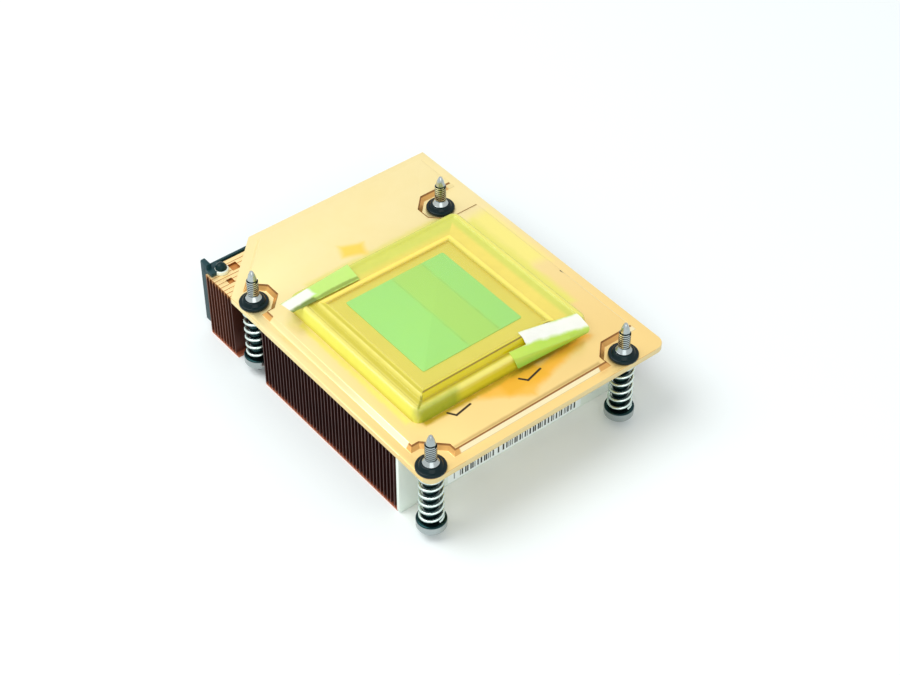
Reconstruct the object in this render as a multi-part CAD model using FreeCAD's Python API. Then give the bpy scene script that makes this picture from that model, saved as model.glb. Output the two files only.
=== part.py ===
import FreeCAD, Part
import math
import os

# Passive 1U server CPU heatsink, lying with its fins down and its contact side up.
# Units are millimetres, +Z is up. The origin is the centre of the copper contact face,
# which is also the centre of the four-screw pattern. X runs across the fins and Y
# along them, the way the air flows.

Vec = FreeCAD.Vector

# ---------------------------------------------------------------- driving dimensions
SCREW_SPACING_X = 83.0
SCREW_SPACING_Y = 69.0

# base plate outline, from the pattern centre
PLATE_X = (-67.0, 45.6)
PLATE_Y = (-38.6, 47.5)
PLATE_CORNER_R = 3.4
PLATE_CUT = 19.5                # 45 degree cut at the (-X, -Y) corner
PLATE_EDGE_R = 0.4

# levels, downwards from the contact face
PEDESTAL_H = 4.7
STEP_H = 1.5
FLANGE_T = 2.0
PLATFORM_TOP = -PEDESTAL_H
FLANGE_TOP = PLATFORM_TOP - STEP_H
PLATE_BOTTOM = FLANGE_TOP - FLANGE_T
FIN_HEIGHT = 23.6
FIN_BOTTOM = PLATE_BOTTOM - FIN_HEIGHT

# raised platform of the base plate
PLATFORM_INSET = 3.0            # flange width outside the step
STEP_WIDTH = 1.2                # plan width of the sloping step
POCKETS = [(5.6, 3.6), (7.2, 5.4), (5.6, 3.6), (5.6, 3.6)]    # half width, cut corner, per screw

# contact pedestal and thermal pad
PEDESTAL_SIDE = 46.0
PEDESTAL_CHAMFER = 0.5
PAD_X = (-20.2, 17.8)
PAD_Y = (-17.2, 17.2)
PAD_T = 0.2

# fins: folded copper sheets soldered side by side
FIN_PITCH = 1.6
FIN_T = 0.35
FIN_BEND = 0.2
FIN_STACK_END_X = 29.9
FINS_FRONT = 40
FINS_SHORT = 9
FINS_REAR = 9
FIN_Y = (-37.4, 46.6)
SHORT_FIN_Y = (-26.8, 26.8)

# end plates of the stack
FRONT_PLATE_T = 1.2
REAR_PLATE_T = 3.2
REAR_PLATE_HEIGHT = 20.2
REAR_LUG_Y = (-36.9, -24.4)
REAR_LUG_H = 3.0
REAR_TAB = (4.4, 4.6, 1.2)      # length over the fins, width, thickness
RIVET_R = 1.5
RIVET_HEAD_H = 1.1
LABEL_Y = (-20.6, 29.0)
LABEL_H = 17.0
LABEL_T = 0.12

# captive screw
HOLE_R = 2.6
SHOULDER_R = 2.4
THREAD_R = 1.75
TIP_R = 0.55
TIP_TOP = 5.9
TIP_LENGTH = 2.6
SHOULDER_ABOVE_RING = 0.4
SHOULDER_CONE = 0.8
HEAD_R = 4.4
HEAD_H = 3.2
HEAD_BOTTOM = -29.1
HEAD_TOP = HEAD_BOTTOM + HEAD_H
DRIVE_WIDTH = 1.1
DRIVE_LENGTH = 4.4
DRIVE_DEPTH = 1.5

# retaining ring, held in a groove of the screw and resting on the flange
RING_R = 4.4
RING_T = 1.1
RING_GAP = 0.05
GROOVE_R = 2.05

# compression spring between the screw head and the base plate
WIRE_R = 0.5
SPRING_MEAN_R = 3.2
SPRING_TURNS = 5.5
WIRE_SIDES = 6
TURN_STEPS = 12

# thermoformed protective cover: outer wall, ledge, and a raised window over the pedestal
COVER_X = (-33.3, 28.4)
COVER_Y = (-29.0, 33.7)
COVER_DRAFT = 1.2
COVER_CORNER_R = 4.0
COVER_WALL = 0.4
LEDGE_TOP = -0.9
LEDGE_EDGE_R = 0.8
WINDOW_HALF = 23.9
WINDOW_DRAFT = 0.7
WINDOW_TOP = 0.7

# two tape strips over the cover's rim
TAPE_T = 0.15
TAPE_DOWN = 3.4
TAPE_REAR_WIDTH = 4.6
TAPE_REAR_Y = (-31.5, -8.5)
TAPE_FRONT_Y = (3.6, 29.0)

os.makedirs("parts", exist_ok=True)

SCREW_CENTRES = [
    (-SCREW_SPACING_X / 2, -SCREW_SPACING_Y / 2),
    (SCREW_SPACING_X / 2, -SCREW_SPACING_Y / 2),
    (SCREW_SPACING_X / 2, SCREW_SPACING_Y / 2),
    (-SCREW_SPACING_X / 2, SCREW_SPACING_Y / 2),
]


# ---------------------------------------------------------------- general helpers
def save(name, shape):
    """Write one sub-part to its own STEP file."""
    solids = shape.Solids
    if not shape.isValid() or not solids:
        raise ValueError(f"{name} is not a valid solid")
    result = solids[0] if len(solids) == 1 else Part.makeCompound(solids)
    result.exportStep(f"parts/{name}.step")
    box = result.BoundBox
    print(f"{name}: {len(solids)} solid(s), {result.Volume:.1f} mm3, "
          f"z {box.ZMin:.2f} to {box.ZMax:.2f}")


def block(x_range, y_range, z_range):
    """Box between two values on each axis."""
    size = [high - low for low, high in (x_range, y_range, z_range)]
    return Part.makeBox(*size, Vec(x_range[0], y_range[0], z_range[0]))


def wire_at(points, z):
    """Closed polygon through plan points at one level."""
    corners = [Vec(x, y, z) for x, y in points]
    return Part.makePolygon(corners + corners[:1])


def prism(points, z_low, z_high):
    """Upright prism on a polygon."""
    face = Part.Face(wire_at(points, z_low))
    return face.extrude(Vec(0, 0, z_high - z_low))


def rounded_rectangle(x_range, y_range, radius, z):
    """Rectangle wire with four corner arcs."""
    (x0, x1), (y0, y1) = x_range, y_range
    centres = [(x1 - radius, y1 - radius, 0), (x0 + radius, y1 - radius, 90),
               (x0 + radius, y0 + radius, 180), (x1 - radius, y0 + radius, 270)]
    arcs = []
    for cx, cy, start in centres:
        circle = Part.Circle(Vec(cx, cy, z), Vec(0, 0, 1), radius)
        arcs.append(Part.Arc(circle, math.radians(start), math.radians(start + 90)).toShape())
    edges = []
    for index, arc in enumerate(arcs):
        following = arcs[(index + 1) % 4]
        edges.append(arc)
        edges.append(Part.makeLine(arc.Vertexes[-1].Point, following.Vertexes[0].Point))
    return Part.Wire(edges)


def frustum(lower, upper):
    """Solid between two rounded rectangles, each (x_range, y_range, radius, z)."""
    return Part.makeLoft([rounded_rectangle(*lower), rounded_rectangle(*upper)], True, True)


def grown(x_range, y_range, by):
    """Rectangle ranges moved outwards by a distance."""
    return (x_range[0] - by, x_range[1] + by), (y_range[0] - by, y_range[1] + by)


def level_edges(shape, z, tolerance=1e-4):
    """Edges of a shape that lie wholly at one level."""
    return [edge for edge in shape.Edges
            if abs(edge.BoundBox.ZMin - z) < tolerance and abs(edge.BoundBox.ZMax - z) < tolerance]


def revolved(profile, centre):
    """Turn a closed (radius, z) profile about the vertical axis through centre."""
    corners = [Vec(radius, 0, z) for radius, z in profile]
    face = Part.Face(Part.makePolygon(corners + corners[:1]))
    solid = face.revolve(Vec(0, 0, 0), Vec(0, 0, 1), 360)
    solid.translate(Vec(centre[0], centre[1], 0))
    return solid


# ---------------------------------------------------------------- base plate
def plate_outline(inset):
    """Corners of the plate outline, moved inwards by inset, with the 45 degree cut."""
    x0, x1 = PLATE_X[0] + inset, PLATE_X[1] - inset
    y0, y1 = PLATE_Y[0] + inset, PLATE_Y[1] - inset
    cut = PLATE_CUT - inset * (2 - math.sqrt(2))
    return [(x0 + cut, y0), (x1, y0), (x1, y1), (x0, y1), (x0, y0 + cut)]


def pocket_outline(centre, pocket, grow):
    """Plan of one screw pocket, open towards the plate's nearer long edge."""
    half, cut = pocket[0] + grow, pocket[1] + grow * (2 - math.sqrt(2))
    outside = 30.0
    towards_edge = 1 if centre[1] > 0 else -1
    local = [(-half, outside), (-half, cut - half), (cut - half, -half),
             (half - cut, -half), (half, cut - half), (half, outside)]
    if centre[0] > 0:
        local[3:] = [(outside, -half), (outside, outside)]
    return [(centre[0] + x, centre[1] + towards_edge * y) for x, y in local]


def sloped(outline, z_low, z_high):
    """Solid between an outline and the same outline moved inwards by the step's width."""
    return Part.makeLoft([wire_at(outline(0), z_low), wire_at(outline(STEP_WIDTH), z_high)],
                         True, True)


def platform():
    """Raised platform with sloping sides, cut back round every screw."""
    z_low, z_high = FLANGE_TOP, PLATFORM_TOP
    body = sloped(lambda extra: plate_outline(PLATFORM_INSET + extra), z_low, z_high)
    for centre, pocket in zip(SCREW_CENTRES, POCKETS):
        body = body.cut(sloped(lambda extra: pocket_outline(centre, pocket, extra), z_low, z_high))
    return body


def base_plate():
    flange = prism(plate_outline(0), PLATE_BOTTOM, FLANGE_TOP)
    uprights = [edge for edge in flange.Edges
                if edge.BoundBox.ZLength > FLANGE_T / 2 and edge.BoundBox.XMax > PLATE_X[0] + 1
                and edge.BoundBox.XMax > 0]
    flange = flange.makeFillet(PLATE_CORNER_R, uprights)
    flange = flange.makeFillet(PLATE_EDGE_R, level_edges(flange, FLANGE_TOP))
    plate = flange.fuse(platform())
    for x, y in SCREW_CENTRES:
        plate = plate.cut(Part.makeCylinder(HOLE_R, 20, Vec(x, y, PLATE_BOTTOM - 1)))
    return plate


def contact_pedestal():
    half = PEDESTAL_SIDE / 2
    slug = block((-half, half), (-half, half), (PLATFORM_TOP, 0))
    return slug.makeChamfer(PEDESTAL_CHAMFER, level_edges(slug, 0))


def thermal_pad():
    return Part.Face(rounded_rectangle(PAD_X, PAD_Y, 0.6, 0)).extrude(Vec(0, 0, PAD_T))


# ---------------------------------------------------------------- fins and end plates
def folded_fin(x, y_range):
    """One fin: a web with a flange folded over at the top and at the bottom."""
    top, bottom = PLATE_BOTTOM, FIN_BOTTOM
    profile = [(FIN_BEND, top), (FIN_PITCH, top), (FIN_PITCH, top - FIN_T),
               (FIN_T, top - FIN_T), (FIN_T, bottom + FIN_T), (FIN_PITCH, bottom + FIN_T),
               (FIN_PITCH, bottom), (FIN_BEND, bottom), (0, bottom + FIN_BEND),
               (0, top - FIN_BEND)]
    corners = [Vec(x + dx, y_range[0], z) for dx, z in profile]
    face = Part.Face(Part.makePolygon(corners + corners[:1]))
    return face.extrude(Vec(0, y_range[1] - y_range[0], 0))


def fin_pack(x_start, count, y_range):
    """Neighbouring fins, soldered where each flange meets the next web."""
    fins = [folded_fin(x_start + index * FIN_PITCH, y_range) for index in range(count)]
    return fins[0].multiFuse(fins[1:])


def lance_slots(x_start):
    """Two small slots through the upper flanges, in the corner that the plate leaves open."""
    slots = [(x_start + 0.7, -30.2, 3.2, 2.8), (x_start + 6.0, -34.3, 2.2, 2.0)]
    return [block((x, x + dx), (y, y + dy), (PLATE_BOTTOM - 1.2, PLATE_BOTTOM + 1))
            for x, y, dx, dy in slots]


def front_end_plate():
    x0 = FIN_STACK_END_X
    plate = block((x0, x0 + FRONT_PLATE_T), (FIN_Y[0] - 0.2, FIN_Y[1] + 0.2),
                  (FIN_BOTTOM, PLATE_BOTTOM))
    lower = [edge for edge in plate.Edges
             if edge.BoundBox.XLength > FRONT_PLATE_T / 2 and edge.BoundBox.ZMax < PLATE_BOTTOM - 1]
    return plate.makeFillet(1.0, lower)


def barcode_label():
    x0 = FIN_STACK_END_X + FRONT_PLATE_T
    z0 = FIN_BOTTOM + 0.5
    return block((x0, x0 + LABEL_T), LABEL_Y, (z0, z0 + LABEL_H))


def rear_end_plate(x_fins):
    """Black end plate with a lug and a tab that reaches over the fins at the open corner."""
    x0 = x_fins - REAR_PLATE_T
    z0 = PLATE_BOTTOM - REAR_PLATE_HEIGHT
    plate = block((x0, x_fins), (REAR_LUG_Y[0], FIN_Y[1]), (z0, PLATE_BOTTOM))
    lug = block((x0, x_fins), REAR_LUG_Y, (PLATE_BOTTOM - 1, PLATE_BOTTOM + REAR_LUG_H))
    lug = lug.makeFillet(0.8, [edge for edge in lug.Edges
                               if edge.BoundBox.XLength > 1 and edge.BoundBox.ZMin > PLATE_BOTTOM])
    length, width, thick = REAR_TAB
    tab = block((x_fins - 1, x_fins + length), (REAR_LUG_Y[0], REAR_LUG_Y[0] + width),
                (PLATE_BOTTOM, PLATE_BOTTOM + thick))
    tab = tab.makeFillet(1.5, [edge for edge in tab.Edges
                               if edge.BoundBox.ZLength > 1 and edge.BoundBox.XMin > x_fins])
    return plate.fuse([lug, tab]).removeSplitter()


def tab_rivet(x_fins):
    """Domed rivet head on the tab."""
    length, width, thick = REAR_TAB
    centre = (x_fins + length / 2 + 0.2, REAR_LUG_Y[0] + width / 2)
    base = PLATE_BOTTOM + thick
    dome_r = (RIVET_R ** 2 + RIVET_HEAD_H ** 2) / (2 * RIVET_HEAD_H)
    ball = Part.makeSphere(dome_r, Vec(centre[0], centre[1], base + RIVET_HEAD_H - dome_r))
    keep = Part.makeCylinder(RIVET_R, RIVET_HEAD_H, Vec(centre[0], centre[1], base))
    return ball.common(keep)


# ---------------------------------------------------------------- captive screws
def captive_screw(centre):
    """Shoulder screw, head down: head, shoulder with ring groove, thread and point."""
    ring_top = FLANGE_TOP + RING_T
    groove_low, groove_high = FLANGE_TOP - RING_GAP, ring_top + RING_GAP
    shoulder_top = ring_top + SHOULDER_ABOVE_RING
    profile = [(0, HEAD_BOTTOM), (HEAD_R - 0.5, HEAD_BOTTOM), (HEAD_R, HEAD_BOTTOM + 0.5),
               (HEAD_R, HEAD_TOP - 0.25), (HEAD_R - 0.25, HEAD_TOP), (SHOULDER_R, HEAD_TOP),
               (SHOULDER_R, groove_low), (GROOVE_R, groove_low), (GROOVE_R, groove_high),
               (SHOULDER_R, groove_high), (SHOULDER_R, shoulder_top),
               (THREAD_R, shoulder_top + SHOULDER_CONE), (THREAD_R, TIP_TOP - TIP_LENGTH),
               (TIP_R, TIP_TOP), (0, TIP_TOP)]
    screw = revolved(profile, centre)
    return screw.cut(cross_recess(centre))


def cross_recess(centre):
    """Tapered cross for the driver, cut upwards into the head."""
    arms = []
    for length, width in ((DRIVE_LENGTH, DRIVE_WIDTH), (DRIVE_WIDTH, DRIVE_LENGTH)):
        mouth = wire_at([(centre[0] + sx * length / 2, centre[1] + sy * width / 2)
                         for sx, sy in ((-1, -1), (1, -1), (1, 1), (-1, 1))], HEAD_BOTTOM)
        floor = wire_at([(centre[0] + sx * length / 4, centre[1] + sy * width / 4)
                         for sx, sy in ((-1, -1), (1, -1), (1, 1), (-1, 1))],
                        HEAD_BOTTOM + DRIVE_DEPTH)
        arms.append(Part.makeLoft([mouth, floor], True, True))
    return arms[0].fuse(arms[1])


def retaining_ring(centre):
    """Flat ring that runs in the screw's groove and stops on the flange."""
    bore = GROOVE_R + RING_GAP
    top = FLANGE_TOP + RING_T
    profile = [(bore, FLANGE_TOP), (RING_R, FLANGE_TOP), (RING_R, top - 0.3),
               (RING_R - 0.3, top), (bore, top)]
    return revolved(profile, centre)


def spring_radius_point(angle, height, turn_angle):
    """Corner of the wire section: angle round the wire, turn_angle round the spring."""
    radius = SPRING_MEAN_R + WIRE_R * math.cos(angle)
    return Vec(radius * math.cos(turn_angle), radius * math.sin(turn_angle),
               height + WIRE_R * math.sin(angle))


def compression_spring(centre):
    """Coil of round wire, built as a chain of short ruled lengths of many-sided wire."""
    low, high = HEAD_TOP + WIRE_R, PLATE_BOTTOM - WIRE_R
    steps = round(SPRING_TURNS * TURN_STEPS)
    sections = []
    for step in range(steps + 1):
        share = step / steps
        turn_angle = 2 * math.pi * SPRING_TURNS * share
        height = low + (high - low) * share
        corners = [spring_radius_point(2 * math.pi * side / WIRE_SIDES, height, turn_angle)
                   for side in range(WIRE_SIDES)]
        sections.append(corners)
    faces = [Part.Face(Part.makePolygon(sections[0] + sections[0][:1])),
             Part.Face(Part.makePolygon(sections[-1] + sections[-1][:1]))]
    for first, second in zip(sections, sections[1:]):
        for side in range(WIRE_SIDES):
            after = (side + 1) % WIRE_SIDES
            for triple in ((first[side], first[after], second[side]),
                           (first[after], second[after], second[side])):
                faces.append(Part.Face(Part.makePolygon(list(triple) + [triple[0]])))
    spring = Part.makeSolid(Part.makeShell(faces))
    if spring.Volume < 0:
        spring.reverse()
    spring.translate(Vec(centre[0], centre[1], 0))
    return spring


# ---------------------------------------------------------------- protective cover
def cover_body(wall):
    """Solid form of the cover, moved inwards by a wall thickness."""
    foot_x, foot_y = grown(COVER_X, COVER_Y, -wall)
    ledge_x, ledge_y = grown(COVER_X, COVER_Y, -COVER_DRAFT - wall)
    radius = COVER_CORNER_R - wall
    ledge = LEDGE_TOP - wall
    body = frustum((foot_x, foot_y, radius, PLATFORM_TOP), (ledge_x, ledge_y, radius, ledge))
    body = body.makeFillet(LEDGE_EDGE_R, level_edges(body, ledge))
    half = WINDOW_HALF - wall
    window_foot = (-half - WINDOW_DRAFT, half + WINDOW_DRAFT)
    window = frustum((window_foot, window_foot, 2.0 + WINDOW_DRAFT, ledge - 0.5),
                     ((-half, half), (-half, half), 2.0, WINDOW_TOP - wall))
    return body.fuse(window)


def protective_cover():
    return cover_body(0).cut(cover_body(COVER_WALL))


def tape_strip(x_edge, outwards, inner_points, y_range):
    """Tape over the cover's rim: from the inner (x, z) points to the rim, then down the wall."""
    lean = COVER_DRAFT / (LEDGE_TOP - PLATFORM_TOP)
    x_rim = x_edge - outwards * COVER_DRAFT
    x_low = x_rim + outwards * lean * TAPE_DOWN
    under = inner_points + [(x_rim, LEDGE_TOP), (x_low, LEDGE_TOP - TAPE_DOWN)]
    over = [(x + outwards * TAPE_T, z + TAPE_T) for x, z in under]
    corners = [Vec(x, y_range[0], z) for x, z in under + over[::-1]]
    face = Part.Face(Part.makePolygon(corners + corners[:1]))
    return face.extrude(Vec(0, y_range[1] - y_range[0], 0))


# ---------------------------------------------------------------- build
x_front = FIN_STACK_END_X - FINS_FRONT * FIN_PITCH
x_short = x_front - FINS_SHORT * FIN_PITCH
x_rear = x_short - FINS_REAR * FIN_PITCH

save("base_plate", base_plate())
save("contact_pedestal", contact_pedestal())
save("thermal_pad", thermal_pad())
save("protective_cover", protective_cover())
rear_inner = [(COVER_X[0] + COVER_DRAFT + TAPE_REAR_WIDTH, LEDGE_TOP)]
front_inner = [(WINDOW_HALF - 0.6, WINDOW_TOP), (WINDOW_HALF, WINDOW_TOP)]
save("tape_strip_rear", tape_strip(COVER_X[0], -1, rear_inner, TAPE_REAR_Y))
save("tape_strip_front", tape_strip(COVER_X[1], 1, front_inner, TAPE_FRONT_Y))
save("long_fins_front", fin_pack(x_front, FINS_FRONT, FIN_Y))
save("short_fins", fin_pack(x_short, FINS_SHORT, SHORT_FIN_Y))
save("long_fins_rear", fin_pack(x_rear, FINS_REAR, FIN_Y).cut(lance_slots(x_rear)))
save("front_end_plate", front_end_plate())
save("barcode_label", barcode_label())
save("rear_end_plate", rear_end_plate(x_rear))
save("tab_rivet", tab_rivet(x_rear))
for number, centre in enumerate(SCREW_CENTRES, start=1):
    save(f"captive_screw_{number}", captive_screw(centre))
    save(f"retaining_ring_{number}", retaining_ring(centre))
    save(f"compression_spring_{number}", compression_spring(centre))
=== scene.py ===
"""Visual model of a passive 1U server CPU heatsink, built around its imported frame.

The heatsink lies with its fins down. Sizes are in millimetres and are turned into
metres by the builders, and the origin is the centre of the copper contact face.
"""

import logging
import math
from contextlib import contextmanager
from dataclasses import dataclass
from enum import Enum
from typing import Callable, Iterator, Sequence

import bmesh
import bpy
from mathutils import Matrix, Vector

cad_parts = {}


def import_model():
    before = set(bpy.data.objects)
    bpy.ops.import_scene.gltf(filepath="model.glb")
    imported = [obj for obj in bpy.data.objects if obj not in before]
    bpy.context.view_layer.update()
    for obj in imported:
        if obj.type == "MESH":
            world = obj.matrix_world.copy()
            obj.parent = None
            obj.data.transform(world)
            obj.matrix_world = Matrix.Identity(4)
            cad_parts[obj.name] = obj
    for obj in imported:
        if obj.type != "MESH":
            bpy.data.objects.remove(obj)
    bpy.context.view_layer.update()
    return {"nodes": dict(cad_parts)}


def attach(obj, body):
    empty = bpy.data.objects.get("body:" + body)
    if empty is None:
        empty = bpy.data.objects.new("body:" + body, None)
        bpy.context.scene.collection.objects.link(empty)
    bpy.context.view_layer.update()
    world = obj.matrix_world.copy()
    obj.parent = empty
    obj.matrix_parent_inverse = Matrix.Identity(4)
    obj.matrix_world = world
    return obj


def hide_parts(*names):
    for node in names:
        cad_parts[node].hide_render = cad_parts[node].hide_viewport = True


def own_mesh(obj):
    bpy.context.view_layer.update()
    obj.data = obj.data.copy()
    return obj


LOG = logging.getLogger("heatsink")
MM = 0.001
COAT_ROUGHNESS = 0.12
BUMP_DISTANCE = 0.1
GRAIN_ROUGHNESS, WEAR_ROUGHNESS = 0.06, 0.05    # how much grain and wear add
HAZE = 0.08         # spread of a film's alpha
ALONG = 0.9         # cosine from which an edge or a face counts as along an axis
NEAR = 0.01         # distance within which places count as the same
OVERCUT = 2.0       # how far a form reaches past what it cuts
Pair = tuple[float, float]
Triple = tuple[float, float, float]
Colour = tuple[float, float, float, float]
Row = tuple[tuple[float, Colour], ...]
Piece = bpy.types.Object
Socket = bpy.types.NodeSocket
Node = bpy.types.Node
Tree = bpy.types.NodeTree
Finishes = dict[str, bpy.types.Material]


def tone(red: int, green: int, blue: int) -> Colour:
    """Linear colour of an 8-bit sRGB colour.

    Args:
        red: Red, 0 to 255.
        green: Green, 0 to 255.
        blue: Blue, 0 to 255.

    Returns:
        Four linear values, the last one for alpha.
    """
    def linear(value: int) -> float:
        """Linear value of one channel."""
        share = value / 255
        return share / 12.92 if share <= 0.04045 else ((share + 0.055) / 1.055) ** 2.4
    return linear(red), linear(green), linear(blue), 1.0


class Body(str, Enum):
    """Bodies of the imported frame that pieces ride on."""

    HEATSINK = "heatsink"
    RING = "ring_"
    SCREW = "screw_"

    def numbered(self, number: int) -> str:
        """Name of the body that belongs to one screw."""
        return f"{self.value}{number}"


class Pick(Enum):
    """Mesh elements that a selection is made of."""

    VERTS = "VERT"
    EDGES = "EDGE"
    FACES = "FACE"


# ------------------------------------------------------------------ mesh tools
def deselect() -> None:
    """Leave edit mode and clear the selection."""
    if bpy.context.object and bpy.context.object.mode != "OBJECT":
        bpy.ops.object.mode_set(mode="OBJECT")
    bpy.ops.object.select_all(action="DESELECT")


def focus(piece: Piece) -> None:
    """Make one object the only selected and active one."""
    deselect()
    piece.select_set(True)
    bpy.context.view_layer.objects.active = piece


def settle(name: str) -> Piece:
    """Name the new active object and put its place and size into its mesh."""
    piece = bpy.context.object
    piece.name = piece.data.name = name
    bpy.ops.object.transform_apply(location=True, rotation=True, scale=True)
    return piece


@contextmanager
def editing(piece: Piece) -> Iterator[None]:
    """Edit mode on one object, with nothing selected at first."""
    focus(piece)
    bpy.ops.object.mode_set(mode="EDIT")
    bpy.ops.mesh.select_mode(type="VERT")
    bpy.ops.mesh.select_all(action="DESELECT")
    yield
    bpy.ops.object.mode_set(mode="OBJECT")


def pick_all() -> None:
    """Select the whole mesh in edit mode."""
    bpy.ops.mesh.select_all(action="SELECT")


def pick(piece: Piece, kind: Pick, test: Callable[[Vector, Vector], bool]) -> int:
    """Select elements of the object in edit mode by place and direction.

    Args:
        piece: The object that is in edit mode.
        kind: Which elements to select.
        test: Takes an element's middle in millimetres and its normal, or for an
            edge its direction, and says whether it is wanted.

    Returns:
        How many elements are selected.
    """
    bpy.ops.mesh.select_mode(type=kind.value)
    bpy.ops.mesh.select_all(action="DESELECT")
    mesh = bmesh.from_edit_mesh(piece.data)
    chosen = []
    if kind is Pick.FACES:
        chosen = [f for f in mesh.faces if test(f.calc_center_median() / MM, f.normal)]
    elif kind is Pick.EDGES:
        for edge in mesh.edges:
            first, second = (vert.co for vert in edge.verts)
            if test((first + second) / 2 / MM, (second - first).normalized()):
                chosen.append(edge)
    else:
        chosen = [v for v in mesh.verts if test(v.co / MM, v.normal)]
    for element in chosen:
        element.select_set(True)
    mesh.select_flush_mode()
    bmesh.update_edit_mesh(piece.data)
    return len(chosen)


def extrude(x: float = 0.0, y: float = 0.0, z: float = 0.0) -> None:
    """Extrude the selection by a move in millimetres."""
    bpy.ops.mesh.extrude_region_move(TRANSFORM_OT_translate={"value": (x * MM, y * MM, z * MM)})


def bevel(piece: Piece, test: Callable[[Vector, Vector], bool], width: float,
          segments: int = 4) -> None:
    """Bevel the edges that a test picks.

    Args:
        piece: The object to work on.
        test: Says of an edge's middle and direction whether it is wanted.
        width: Width of the bevel in millimetres.
        segments: How many faces it is made of.
    """
    with editing(piece):
        pick(piece, Pick.EDGES, test)
        bpy.ops.mesh.bevel(offset=width * MM, segments=segments, affect="EDGES")


def modify(piece: Piece, kind: str, **settings: object) -> None:
    """Add a modifier with these settings and apply it."""
    focus(piece)
    bpy.ops.object.modifier_add(type=kind)
    modifier = piece.modifiers[-1]
    for key, value in settings.items():
        setattr(modifier, key, value)
    bpy.ops.object.modifier_apply(modifier=modifier.name)


def rounded(piece: Piece, width: float, segments: int = 2, angle: float = 28) -> None:
    """Round every edge sharper than an angle, with a width in millimetres."""
    modify(piece, "BEVEL", width=width * MM, segments=segments, limit_method="ANGLE",
           angle_limit=math.radians(angle), use_clamp_overlap=True)


def smooth(piece: Piece, angle: float = 40) -> None:
    """Smooth shading, except across edges sharper than an angle."""
    focus(piece)
    bpy.ops.object.shade_smooth_by_angle(angle=math.radians(angle))


def tidy_normals(piece: Piece) -> None:
    """Merge doubled corners and turn every face outwards."""
    with editing(piece):
        pick_all()
        bpy.ops.mesh.remove_doubles(threshold=1e-6)
        bpy.ops.mesh.normals_make_consistent(inside=False)


def box(name: str, x: Pair, y: Pair, z: Pair) -> Piece:
    """Box between two values on each axis, as a start for a piece.

    Args:
        name: The new object's name.
        x: Low and high value along X, in millimetres.
        y: Low and high value along Y.
        z: Low and high value along Z.

    Returns:
        The new object, at the origin.
    """
    deselect()
    ranges = (x, y, z)
    middle = [(low + high) / 2 * MM for low, high in ranges]
    size = [(high - low) * MM for low, high in ranges]
    bpy.ops.mesh.primitive_cube_add(size=1, location=middle, scale=size)
    return settle(name)


def boolean(piece: Piece, other: Piece, operation: str) -> None:
    """Cut another object out of a piece, or fuse it in, and remove the other one."""
    modify(piece, "BOOLEAN", object=other, operation=operation, solver="EXACT")
    bpy.data.objects.remove(other)


def raised(outline: Sequence[Pair], level: float) -> list[Pair]:
    """Corners of an outline, with each height counted from a level."""
    return [(radius, level + height) for radius, height in outline]


def turned(name: str, centre: Pair, stations: Sequence[Pair], segments: int = 40,
           hollow: bool = False) -> Piece:
    """Turned part, drawn up from a circle through a row of radii and levels.

    Args:
        name: The new object's name.
        centre: Place of its axis.
        stations: Radius and level of each corner of the outline, from the first up.
        segments: Sides of the circle.
        hollow: Whether the outline closes on itself round a bore.

    Returns:
        The new object.
    """
    deselect()
    radius, level = stations[0]
    bpy.ops.mesh.primitive_circle_add(
        vertices=segments, radius=radius * MM, fill_type="NOTHING" if hollow else "NGON",
        location=(centre[0] * MM, centre[1] * MM, level * MM))
    piece = settle(name)
    with editing(piece):
        pick_all()
        for next_radius, next_level in stations[1:]:
            extrude(z=next_level - level)
            share = next_radius / radius
            pivot = (centre[0] * MM, centre[1] * MM, next_level * MM)
            bpy.ops.transform.resize(value=(share, share, 1), center_override=pivot)
            radius, level = next_radius, next_level
    tidy_normals(piece)
    return piece


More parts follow.
